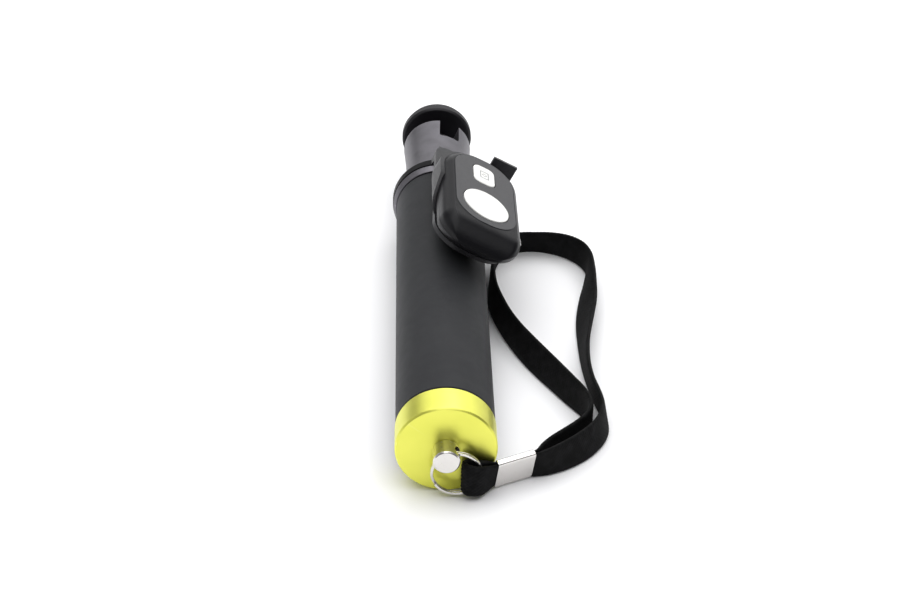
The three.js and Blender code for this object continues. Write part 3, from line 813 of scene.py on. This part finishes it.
crimp_turn = turn(CRIMP_HEADING, "Z") @ turn(CRIMP_LEAN, "X")
CRIMP_PLACE = shift(CRIMP["x"], CRIMP["y"], STRAP_LIFT) @ crimp_turn
strap, strap_path, strap_length = make_strap()
end_loop = make_end_loop()
crimp = make_crimp()
make_ring()


# ---- Handle ----
def make_cap():
    bore, face, plug_bore, chamfer, land = POST_SHANK_R + FIT, 4, 10, 0.5, 0.4
    section = [
        (bore, 0), (bore + land, 0), (CAP_R - chamfer - land, 0), (CAP_R - chamfer, 0), (CAP_R, chamfer),
        (CAP_R, CAP_LENGTH), (CAP_PLUG_R, CAP_LENGTH), (CAP_PLUG_R, CAP_PLUG_END),
        (plug_bore, CAP_PLUG_END), (plug_bore, face), (bore, face),
    ]
    lathe("end_cap", section, LIME, 0.12, 192)


def make_post():
    chamfer, shank = 0.45, 3.8
    section = [
        (0, -POST_LENGTH), (POST_R - chamfer, -POST_LENGTH), (POST_R, -POST_LENGTH + chamfer),
        (POST_R, -FIT), (POST_SHANK_R, -FIT), (POST_SHANK_R, shank), (0, shank),
    ]
    post = turned(section, 0.14, 96)
    drill = spin(disc(POST_HOLE_R, -2 * POST_R, 2 * POST_R), 48)
    through = shift(0, POST_HOLE_Y, 0) @ turn(-POST_HOLE_TILT, "Y") @ turn(math.pi / 2, "Z")
    soften(cut(post, moved(drill, through)), 0.16, 3, 40)
    stand_for(post, "lanyard_post", STICK, TURNED_STEEL)


def make_handle():
    start = CAP_LENGTH + GASKET + 2 * FIT
    gasket = tube(GRIP_R - FIT, CAP_PLUG_R + FIT, CAP_LENGTH + FIT, start - FIT)
    lathe("cap_gasket", gasket, RUBBER, 0.2)
    lathe("handle_tube", tube(HANDLE_R, HANDLE_R - HANDLE_WALL, start, HANDLE_END), TUBE_METAL, 0.12)
    lathe("grip_sleeve", tube(GRIP_R, HANDLE_R + FIT, start, GRIP_END), SOFT_TOUCH, 0.45, 192)
    outer, inner, depth, flange = HANDLE_R - HANDLE_WALL - FIT, SECTION_R[0] + FIT, 6, 0.5
    throat = [
        (inner, HANDLE_END - depth), (outer, HANDLE_END - depth), (outer, HANDLE_END + FIT),
        (HANDLE_R, HANDLE_END + FIT), (HANDLE_R, HANDLE_END + flange), (inner, HANDLE_END + flange),
    ]
    lathe("throat_bush", throat, HARD_BLACK)


def make_section(index):
    """A section's tube, with a lip turned in round the next one, and the friction bush on its foot."""
    number = index + 1
    outer = SECTION_R[index]
    inner = outer - SECTION_WALL
    foot = SECTION_FOOT + SECTION_STEP * index
    section = [(inner, foot), (outer, foot), (outer, SECTION_TOP)]
    if number < len(SECTION_R):
        lip = SECTION_R[number] + FIT
        bend = SECTION_TOP - LIP_LENGTH
        section += [(lip, SECTION_TOP), (lip, bend), (inner, bend)]
    else:
        section += [(inner, SECTION_TOP)]
    lathe(f"section_{number}_tube", section, TUBE_METAL, 0.25)
    around = HANDLE_R - HANDLE_WALL if index == 0 else SECTION_R[index - 1] - SECTION_WALL
    bush = tube(around - FIT, outer + FIT / 2, foot, foot + BUSH_LENGTH)
    lathe(f"section_{number}_bush", bush, HARD_BLACK)


make_cap()
make_post()
make_handle()
for index in range(len(SECTION_R)):
    make_section(index)


# ---- Ball head ----
def arc(radius, y, start, end, steps):
    """Points of a circle round (0, y), as (radius, y), between two angles from level."""
    angles = [start + (end - start) * step / steps for step in range(steps + 1)]
    return [(radius * math.cos(angle), y + radius * math.sin(angle)) for angle in angles]


def make_neck():
    stem = SECTION_R[-1] - SECTION_WALL - FIT
    plug = POCKET_R - FIT
    neck = disc(stem, ADAPTER_START, HEAD_START)[:-1] + disc(plug, HEAD_START, ADAPTER_END)[1:]
    lathe("neck_adapter", neck, TUBE_METAL)


def make_housing():
    """The cup that flares to its rim, with a round-cornered notch for the ball's stem."""
    outside = [(11.1, HEAD_START), (11.15, 155), (11.3, 164), (11.5, 170.5), (11.85, 175.5), (12.1, 179)]
    section = [(POCKET_R, HEAD_START), *outside, (HEAD_RIM_R, HEAD_RIM_Y)]
    section += arc(POCKET_R, BALL_Y, math.asin((HEAD_RIM_Y - BALL_Y) / POCKET_R), 0, 16)
    housing = turned(section, 0.35, 160)
    floor = HEAD_RIM_Y - NOTCH_DEPTH
    corners = [
        (-NOTCH_WIDTH / 2, floor), (NOTCH_WIDTH / 2, floor), (NOTCH_WIDTH / 2, HEAD_RIM_Y + 3),
        (-NOTCH_WIDTH / 2, HEAD_RIM_Y + 3),
    ]
    notch = plate(rounded(corners, 1.2, steps=6), 0, 2 * HEAD_RIM_R)
    soften(cut(housing, moved(notch, turn(NOTCH_ROLL, "Y"))), 0.3, 3, 40)
    stand_for(housing, "ball_housing", STICK, SATIN_METAL)


def make_ball():
    start = ADAPTER_END + FIT
    thickness, inner, outer = 0.6, 4.5, POCKET_R - GAP
    spring = [
        (inner, start + SPRING_HEIGHT - thickness), (outer, start), (outer, start + thickness),
        (inner, start + SPRING_HEIGHT),
    ]
    lathe("ball_spring", spring, ROLLED_STEEL)
    start += SPRING_HEIGHT + FIT
    rim, bore, cup = BALL_Y - STEM_R - GAP, 3, BALL_R + FIT
    seat = [(bore, start), (POCKET_R - FIT, start), (POCKET_R - FIT, rim)]
    seat += arc(cup, BALL_Y, math.asin((rim - BALL_Y) / cup), -math.acos(bore / cup), 16)
    lathe("ball_seat", seat, HARD_BLACK)
    stud = arc(BALL_R, BALL_Y, -math.pi / 2, math.acos(STEM_R / BALL_R), 48)
    stud[0] = (0, BALL_Y - BALL_R)
    top = PLATFORM_Y + SPIGOT_LENGTH
    stud += [(STEM_R, PLATFORM_Y - FIT), (SPIGOT_R, PLATFORM_Y - FIT), (SPIGOT_R, top), (0, top)]
    lathe("ball_stud", stud, BLACK_METAL, 0.3)


def thread_radius(angle, y, tip):
    """The outline of a cut thread, which runs out at its tip."""
    depth = 0.5
    phase = (y / THREAD_PITCH - angle / (2 * math.pi)) % 1
    crest = THREAD_R - depth * clamp(abs(2 * phase - 1) * 1.5 - 0.25)
    return min(crest, THREAD_R - 0.6 + (tip - y))


def make_platform():
    """The disc with a seat for the screw's flange, and the grooved pad on it."""
    top = PLATFORM_Y + PLATFORM_THICKNESS
    bore, rim, chamfer = SPIGOT_R + FIT, FLANGE_R + FIT, 0.7
    plate_section = [
        (bore, PLATFORM_Y), (PLATFORM_R - chamfer, PLATFORM_Y), (PLATFORM_R, PLATFORM_Y + chamfer),
        (PLATFORM_R, top - chamfer), (PLATFORM_R - chamfer, top), (rim, top), (rim, top - SEAT_DEPTH),
        (bore, top - SEAT_DEPTH),
    ]
    lathe("platform_disc", plate_section, BLACK_METAL, 0.5, 192)
    low, high = top + FIT, top + FIT + PAD_THICKNESS
    margin = 0.8
    inner, outer = THREAD_R + FIT, PLATFORM_R - margin
    pad = [(inner, low), (outer, low), (outer, high)]
    grooves, groove_width, groove_depth, slant = 5, 0.6, 0.3, 0.15
    pitch = (outer - inner - 1) / grooves
    for groove in range(grooves):
        edge = outer - margin - groove * pitch
        pad += [(edge, high), (edge - slant, high - groove_depth)]
        pad += [(edge - groove_width + slant, high - groove_depth), (edge - groove_width, high)]
    pad.append((inner, high))
    lathe("platform_pad", pad, RUBBER, 0.12, 160)
    make_screw(top, high + THREAD_LENGTH)


def make_screw(top, tip):
    """The stud's flange, flush with the platform's top, and its thread up to the tip."""
    rows, around = 90, 64
    angles = [2 * math.pi * step / around for step in range(around)]
    levels = [(top - SEAT_DEPTH + FIT, False), (top - FIT / 2, False)]
    levels += [(top + (tip - top) * row / rows, True) for row in range(rows + 1)]
    sections = []
    for y, threaded in levels:
        ring = []
        for angle in angles:
            radius = thread_radius(angle, y, tip) if threaded else FLANGE_R
            ring.append(Vector((radius * math.cos(angle), y, radius * math.sin(angle))))
        sections.append(ring)
    stand_for(sweep(sections), "camera_screw", STICK, TURNED_STEEL)


make_neck()
make_housing()
make_ball()
make_platform()


# ---- Remote ----
def near_slope(y, inset):
    """The height of the face along the remote, which falls away at the near end."""
    run, drop, curve, clear = 11, 7.6, 1.8, 0.2
    share = max(0.0, (REMOTE["near"] + inset + run - y) / run)
    return REMOTE["face"] - inset + clear - drop * share**curve


def smooth_least(a, b, blend):
    """The smaller of two values, with a smooth change from one to the other."""
    share = clamp(0.5 + (b - a) / (2 * blend))
    return b * (1 - share) + a * share - blend * share * (1 - share)


def pebble(inset, face=None, crease=True):
    """The remote's rounded block, drawn in by an inset on all sides, or out by a negative one.

    The profile is (distance in from the outline, z). A block with a face height of its own has no nose.
    """
    side_height, side_inset = SIDE_HEIGHT - inset / 2, SIDE_INSET - inset / 4
    top = (REMOTE["face"] if face is None else face) - inset
    low = REMOTE["floor"] + inset
    span = CREASE_ANGLE if crease else math.pi / 2
    top_inset = side_inset - 0.7 if crease else side_inset
    steps = 10
    profile = [(12.4, low), (8, low), (5, low)]
    for step in range(steps + 1):
        angle = math.pi / 2 * (1 - step / steps)
        profile.append((side_inset * (1 - math.cos(angle)), low + side_height * (1 - math.sin(angle))))
    for step in range(steps + 1):
        angle = span * step / steps
        inward = top_inset * (1 - math.cos(angle)) / (1 - math.cos(span))
        profile.append((inward, top - side_height * (1 - math.sin(angle) / math.sin(span))))
    if crease:
        groove = top - CREASE_DEPTH
        profile += [(top_inset + 0.12, groove), (top_inset + 0.22, groove), (top_inset + 0.3, top)]
    profile += [(side_inset + distance, top) for distance in (0.2, 0.8, 1.6, 2.4, 3.4, 4.6, 6, 8.8)]
    width, near, far, corner = (REMOTE[key] for key in ("width", "near", "far", "corner"))
    layers = []
    for inward, z in profile:
        shrink = inset + inward
        points = rounded_outline(width - 2 * shrink, near + shrink, far - shrink, max(0.2, corner - shrink))
        layers.append((points, z))
    piece = stack(layers)
    if face is None:
        slope_foot, tuck_top, blend = 3, 8, 0.8
        for vertex in piece.data.vertices:
            if vertex.co.z > REMOTE["floor"] + slope_foot:
                vertex.co.z = smooth_least(vertex.co.z, near_slope(vertex.co.y, inset), blend)
            under = clamp((REMOTE["floor"] + tuck_top - vertex.co.z) / tuck_top)
            nearness = max(0.0, 1 - (vertex.co.y - REMOTE["near"]) / NOSE_REACH)
            vertex.co.y += NOSE_TUCK * under**2 * nearness
    return piece


def camera_outline(grow=0.0):
    y, width, length, corner = (CAMERA_BUTTON[key] for key in ("y", "width", "length", "corner"))
    y0, y1 = y - length / 2 - grow, y + length / 2 + grow
    return rounded_outline(width + 2 * grow, y0, y1, corner + grow, 10)


def make_shell(z0, z1):
    """The hollow block between two heights."""
    between = block(-REMOTE["width"], REMOTE["width"], REMOTE["near"] - 2, REMOTE["far"] + 2, z0, z1)
    return common(cut(pebble(0), pebble(REMOTE_WALL)), between)


def make_shells():
    floor, face, seam, beyond = REMOTE["floor"], REMOTE["face"], 0.03, 2
    top = make_shell(REMOTE_SPLIT + seam, face + beyond)
    bottom = make_shell(floor - beyond, REMOTE_SPLIT - seam)
    button_foot = 26
    button_hole = upright(disc(BUTTON["r"] + BUTTON_GAP, button_foot, face + beyond), BUTTON["y"])
    camera_hole = plate(camera_outline(BUTTON_GAP), button_foot, face + beyond)
    slot_end = SLIDER["y0"] + SLIDER["length"] + SLIDER["travel"] + GAP
    slot = block(
        SLIDER["x0"] - 1, SLIDER["x1"] + 1.5, SLIDER["y0"] - GAP, slot_end,
        SLIDER["z0"] - GAP, SLIDER["z1"] + GAP,
    )
    cut(top, button_hole, camera_hole, slot)
    for r, y in ((DOOR["r"] + GAP, DOOR["y"]), *((SCREW_HEAD_R + GAP, y) for y in SCREW_Y)):
        cut(bottom, upright(disc(r, floor - beyond, floor + beyond), y))
    for shell, node in ((top, "remote_top_shell"), (bottom, "remote_bottom_shell")):
        soften(shell, 0.1, 2, 45)
        stand_for(shell, node, ROLLED, REMOTE_GREY)


def make_face_painted_light():
    """A thin sheet over the face in a lighter grey, which is painted light on the lit top, with its own edge round
    the buttons.
    """
    inset, near, corner = 3.2, 83.2, 9.8
    face, width = REMOTE["face"], REMOTE["width"] - 2 * inset
    layers = []
    for shrink, rise in ((0, -0.4), (0, -0.02), (0.12, 0.05)):
        far = REMOTE["far"] - inset - shrink
        outline = rounded_outline(width - 2 * shrink, near + shrink, far, corner - shrink)
        layers.append((outline, face + rise))
    panel = stack(layers)
    low, high = face - 2, face + 2
    hole = upright(disc(BUTTON["r"] + BUTTON_GAP, low, high), BUTTON["y"], 128)
    cut(panel, hole, plate(camera_outline(BUTTON_GAP), low, high))
    finish_detail(panel, "face_painted_light_visual", "remote_top_shell", FACE_GREY_PAINTED_LIGHT)


def make_buttons():
    """The dished round button and the small one with its rounded edge."""
    r, top, dish = BUTTON["r"], BUTTON["top"], 0.28
    hollow = [(r * share, top - dish * (1 - share**2)) for share in (0.9, 0.75, 0.6, 0.45, 0.3, 0.15)]
    section = [(0, BUTTON_FOOT), (r, BUTTON_FOOT), (r, top), *hollow, (0, top - dish)]
    shutter = upright(section, BUTTON["y"], 128, 0.3)
    stand_for(shutter, "shutter_button", ROLLED, WHITE)
    layers = [(camera_outline(0), BUTTON_FOOT)]
    edge, steps = 0.35, 5
    for step in range(steps + 1):
        angle = math.pi / 2 * step / steps
        inward = edge * (1 - math.cos(angle))
        layers.append((camera_outline(-inward), CAMERA_BUTTON["top"] - edge * (1 - math.sin(angle))))
    layers.append((camera_outline(-1.2), CAMERA_BUTTON["top"]))
    stand_for(stack(layers), "camera_button", ROLLED, WHITE)
    make_pictogram()


def finish_detail(piece, name, node, finish):
    """Fixes a detail of the remote to the body of a node, which it doesn't stand for."""
    piece.name = name
    piece.data.transform(ROLLED)
    piece.data.materials.append(finish)
    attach(piece, body_of[node])


def make_pictogram():
    """A plain camera outline, inlaid in the small button."""
    y, z = CAMERA_BUTTON["y"], CAMERA_BUTTON["top"]
    low, high = z - 0.1, z + 0.03
    shape = plate(rounded_outline(3.4, y - 2.3, y + 2.3, 0.5, 6), low, high)
    cut(shape, plate(rounded_outline(2.5, y - 1.85, y + 1.85, 0.3, 6), low - 1, high + 1))
    lens = upright(tube(0.9, 0.55, low, high), y, 32, 0.02)
    join(shape, lens)
    finish_detail(shape, "camera_pictogram", "camera_button", MARKING)


def make_slider():
    y0, length, z0, z1 = (SLIDER[key] for key in ("y0", "length", "z0", "z1"))
    slider = block(SLIDER["x0"], SLIDER["x1"], y0, y0 + length, z0, z1)
    grooves, depth, half_width = 3, 0.15, 0.2
    outside = SLIDER["x1"]
    for number in range(grooves):
        y = y0 + length * (number + 1) / (grooves + 1)
        groove = block(outside - depth, outside + 1, y - half_width, y + half_width, z0 - 1, z1 + 1)
        cut(slider, groove)
    stand_for(soften(slider, 0.07, 2), "power_switch", ROLLED, WHITE)


def make_underside():
    """The battery door with its coin slot, and the two cross-head screws."""
    low, high, y = DOOR["bottom"], DOOR["top"], DOOR["y"]
    door = upright(disc(DOOR["r"], low, high), y, 128, 0.2)
    cut(door, block(-4.5, 4.5, y - 0.9, y + 0.9, low - 1, low + 0.6))
    stand_for(soften(door, 0.12, 2), "battery_door", ROLLED, REMOTE_GREY)
    head, foot, tip = REMOTE["floor"] + GAP, REMOTE["floor"] + 1.5, REMOTE["face"] - 4
    shank, arm, half_width = 0.75, 1.1, 0.2
    section = [(0, head), (SCREW_HEAD_R, head), (SCREW_HEAD_R, foot), (shank, foot), (shank, tip), (0, tip)]
    for number, y in enumerate(SCREW_Y, 1):
        screw = upright(section, y, 48, 0.2)
        for half_x, half_y in ((arm, half_width), (half_width, arm)):
            cut(screw, block(-half_x, half_x, y - half_y, y + half_y, head - 1, head + 0.7))
        stand_for(soften(screw, 0.05, 2), f"remote_screw_{number}", ROLLED, ROLLED_STEEL)


make_shells()
make_face_painted_light()
make_buttons()
make_slider()
make_underside()


# ---- Remote holder ----
def make_deck():
    """The plate under the remote, with a rounder near end and a slightly narrower far one."""
    width, near, far, corner = (DECK[key] for key in ("width", "near", "far", "corner"))
    far_corner, taper, half_count = 6, 0.9, 34
    outline = rounded_outline(width, near, far, corner)[:half_count]
    outline += [(taper * x, y) for x, y in rounded_outline(width, near, far, far_corner)[half_count:]]
    return plate(outline, DECK["floor"], DECK["top"])


def make_cup():
    """The wall that follows the remote's side, all round it and up past its face."""
    outside = pebble(-FIT - LIP["wall"], REMOTE["face"] + 10, False)
    return cut(outside, pebble(-0.06))


def make_high_lip():
    """The wall along the remote's left side and round its far end, with a slanted near end."""
    width, reach = DECK["width"], DECK["far"] - DECK["near"]
    end, corner = 2, 3.5
    corners = [(-width, -reach), (end, -reach), (end, LIP["top"]), (-width, LIP["top"])]
    box = plate(rounded(corners, corner, steps=8), -DECK["far"], 7 - LIP["start"])
    lip = common(make_cup(), moved(box, turn(math.pi / 2, "X")))
    slope = shift(0, LIP["start"] + 10, LIP["top"]) @ turn(2.2, "X")
    return cut(lip, moved(block(-width, 5, 0, 40, -30, 30), slope))


def make_low_lip():
    box = block(1, DECK["width"], LIP["start"], DECK["far"], DECK["floor"] + 0.2, LIP["low_top"])
    return common(make_cup(), box)


def make_tab():
    half = TAB["thickness"] / 2
    tab = block(TAB["x0"], TAB["x1"], -half, half, 0, TAB["top"] - DECK["floor"])
    return moved(tab, shift(0, TAB["y"], DECK["floor"]) @ turn(-TAB["lean"], "X"))


def in_collar(piece, polygon):
    corners = [piece.data.vertices[index].co for index in polygon.vertices]
    return all(math.hypot(corner.x, corner.z) < COLLAR_R + 0.02 for corner in corners)


def make_holder():
    """The collar with its deck, lips and tab, in a lighter grey than the remote's as painted light. The collar is
    given the black plastic as painted shade.
    """
    near, far, floor = DECK["near"], DECK["far"], DECK["floor"]
    bore, sole = HANDLE_R + FIT, GRIP_R - 2
    ribs = block(-6, 6, near + 11, COLLAR_END, sole, floor + 1)
    shoulder = block(-10, 10, RIM_END + 0.2, COLLAR_END, sole, floor + 1)
    holder = join(make_deck(), make_high_lip(), make_low_lip(), make_tab(), ribs, shoulder)
    over_grip = spin(disc(COLLAR_R + FIT, near - 20, RIM_END + FIT), 192)
    cut(holder, over_grip, spin(disc(bore, near - 20, far + 9), 192))
    join(holder, turned(tube(COLLAR_R, bore, RIM_END + FIT, COLLAR_END), 0.5, 192))
    soften(holder, 0.25, 3, 40)
    # Painted shade: the collar's faces take the black plastic, and the rest takes the lighter grey that is painted
    # light.
    collar_painted_shade = [int(in_collar(holder, polygon)) for polygon in holder.data.polygons]
    stand_for(holder, "remote_holder", ROLLED, HOLDER_GREY_PAINTED_LIGHT)
    holder.data.materials.append(HARD_BLACK)
    holder.data.polygons.foreach_set("material_index", collar_painted_shade)


def make_rim():
    """The satin ring between the grip and the collar."""
    bore, outer = HANDLE_R + FIT, COLLAR_R - 0.15
    section = [
        (bore, COLLAR_START), (COLLAR_R - 1, COLLAR_START), (outer, RIM_END - 0.6), (outer, RIM_END),
        (bore, RIM_END),
    ]
    lathe("handle_rim", section, SATIN_METAL, 0.3, 192)


make_holder()
make_rim()


# ---- CAD nodes that stay, with their finishes ----
for node, finish in (
    ("circuit_board", BOARD), ("radio_module", HARD_BLACK), ("shutter_switch", ROLLED_STEEL),
    ("camera_switch", ROLLED_STEEL), ("coin_cell", ROLLED_STEEL), ("cell_contact", ROLLED_STEEL),
):
    materials = frame["nodes"][node].data.materials
    materials.clear()
    materials.append(finish)


# ---- Floor and light ----
def make_floor():
    bm = bmesh.new()
    bmesh.ops.create_grid(bm, x_segments=1, y_segments=1, size=6)
    floor = new_piece(bm, "floor")
    finish = Finish("paper", (0.93, 0.93, 0.94), 0.7)
    finish.tint(finish.ramp(finish.noise(400, 2), 0.3, 0.8), (0.91, 0.91, 0.925))
    finish.bump(finish.noise(0.5, 2), 0.01)
    floor.data.materials.append(finish.material)


def make_light(name, location, size, power):
    """A soft light, aimed at the middle of the object."""
    data = bpy.data.lights.new(name, "AREA")
    data.shape = "RECTANGLE"
    data.size, data.size_y = size
    data.energy = power
    light = add_object(name, data)
    light.location = location
    light.rotation_euler = (-Vector(location)).to_track_quat("-Z", "Y").to_euler()


def make_world():
    world = bpy.data.worlds.new("studio")
    world.use_nodes = True
    background = world.node_tree.nodes["Background"]
    background.inputs["Color"].default_value = (1, 1, 1, 1)
    background.inputs["Strength"].default_value = 0.2
    bpy.context.scene.world = world


make_floor()
make_world()
make_light("overhead", (0.1, 0.05, 1.3), (2.2, 2.0), 25)
make_light("back", (0.25, 1.5, 0.7), (2.8, 1.3), 10)
make_light("left", (-1.6, 0.1, 0.7), (1.8, 1.2), 4)
view = bpy.context.scene.view_settings
view.view_transform = "Standard"
view.look = "Medium High Contrast"
